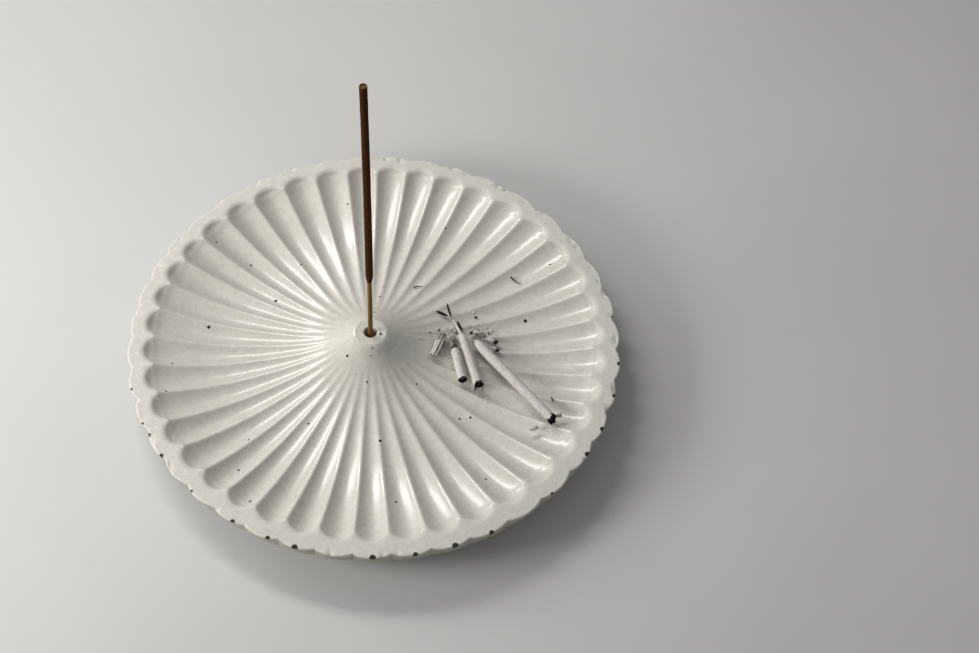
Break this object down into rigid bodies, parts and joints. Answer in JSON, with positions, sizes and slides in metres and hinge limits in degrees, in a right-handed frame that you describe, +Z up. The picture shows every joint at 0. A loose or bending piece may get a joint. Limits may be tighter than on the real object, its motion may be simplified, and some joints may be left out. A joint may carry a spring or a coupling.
{
  "type": "incense burner",
  "caption": "Round fluted incense plate with a raised central boss that holds a single stick upright, shown with loose ash on it.",
  "frame": {"origin": "centre of the plate on the surface that it stands on", "axes": "+Z up along the stick, -Y towards the viewer, +X to the right"},
  "size_m": [0.1608, 0.1608, 0.1401],
  "materials": {
    "cast_stone": "pale warm grey cast gypsum, sealed, with pinholes",
    "felt": "pressed felt",
    "bamboo": "bare split bamboo",
    "paste": "dry rolled incense paste, matte dark brown",
    "ash": "brittle pale ash",
    "char": "charred bamboo"
  },
  "bodies": {
    "plate": {"dish": "cast_stone", "foot_pad_1": "felt", "foot_pad_2": "felt", "foot_pad_3": "felt", "foot_pad_4": "felt"},
    "stick": {"bamboo_core": "bamboo", "incense_paste": "paste"},
    "long_roll": {"long_ash_roll": "ash"},
    "middle_roll": {"middle_ash_roll": "ash", "core_ash_sliver": "ash", "char_splinter_long": "char", "char_splinter_broad": "char", "char_splinter_inner": "char"},
    "short_roll": {"short_ash_roll": "ash", "charred_stub": "char"},
    "loose_ash": {"curled_flake": "ash", "upper_edge_flake": "ash", "lower_edge_flake": "ash", "rim_side_chip": "ash", "torn_end_lump": "ash", "ash_crumbs": "ash"}
  },
  "joints": [
    {"name": "stick_lift", "type": "slide", "parent": "plate", "child": "stick", "axis": [0, 0, 1], "range_m": [0, 0.03]},
    {"name": "long_roll_lift", "type": "slide", "parent": "plate", "child": "long_roll", "axis": [0, 0, 1], "range_m": [0, 0.025]},
    {"name": "middle_roll_lift", "type": "slide", "parent": "plate", "child": "middle_roll", "axis": [0, 0, 1], "range_m": [0, 0.025]},
    {"name": "short_roll_lift", "type": "slide", "parent": "plate", "child": "short_roll", "axis": [0, 0, 1], "range_m": [0, 0.025]},
    {"name": "loose_ash_lift", "type": "slide", "parent": "plate", "child": "loose_ash", "axis": [0, 0, 1], "range_m": [0, 0.025]}
  ]
}
